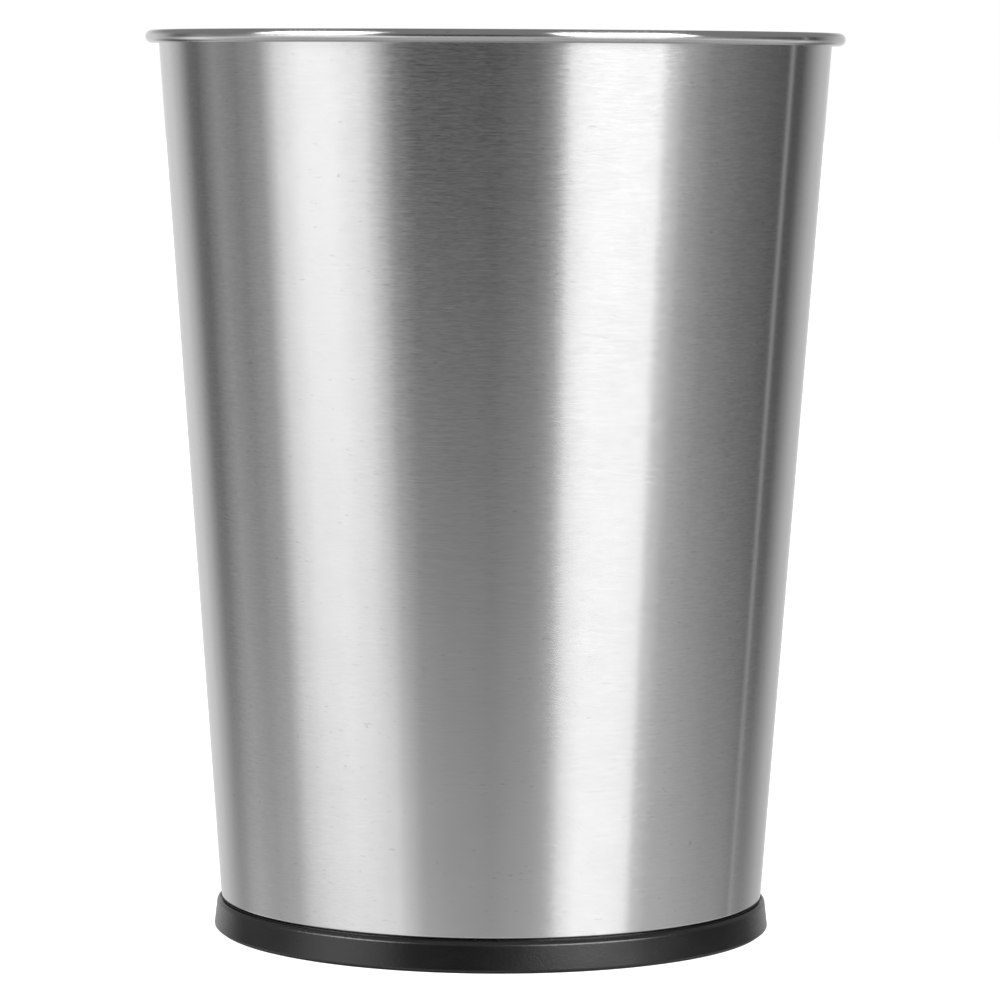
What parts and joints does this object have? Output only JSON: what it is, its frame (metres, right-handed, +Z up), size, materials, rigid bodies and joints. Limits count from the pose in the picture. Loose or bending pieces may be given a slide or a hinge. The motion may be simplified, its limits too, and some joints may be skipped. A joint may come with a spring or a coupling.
{
  "type": "wastebasket",
  "caption": "Round, tapered, open-topped wastebasket of brushed stainless steel with a rolled rim, a seamed steel bottom, a black plastic base ring and an anti-slip foot ring.",
  "frame": {"origin": "centre of the bottom, on the floor", "axes": "+Z up along the axis of the basket, through the mouth; the basket is round, so the front, -Y, is any side"},
  "size_m": [0.2438, 0.2438, 0.315],
  "materials": {
    "shell_steel": "stainless sheet, brushed round the body",
    "plate_steel": "stainless sheet, dull mill finish",
    "base_plastic": "satin moulded black",
    "foot_rubber": "matte black",
    "screw_steel": "bright zinc plate"
  },
  "bodies": {
    "root": {"body_shell": "shell_steel", "bottom_plate": "plate_steel", "base_ring": "base_plastic", "foot_ring": "foot_rubber", "base_screw_1": "screw_steel", "base_screw_2": "screw_steel", "base_screw_3": "screw_steel", "base_screw_4": "screw_steel"}
  },
  "joints": []
}
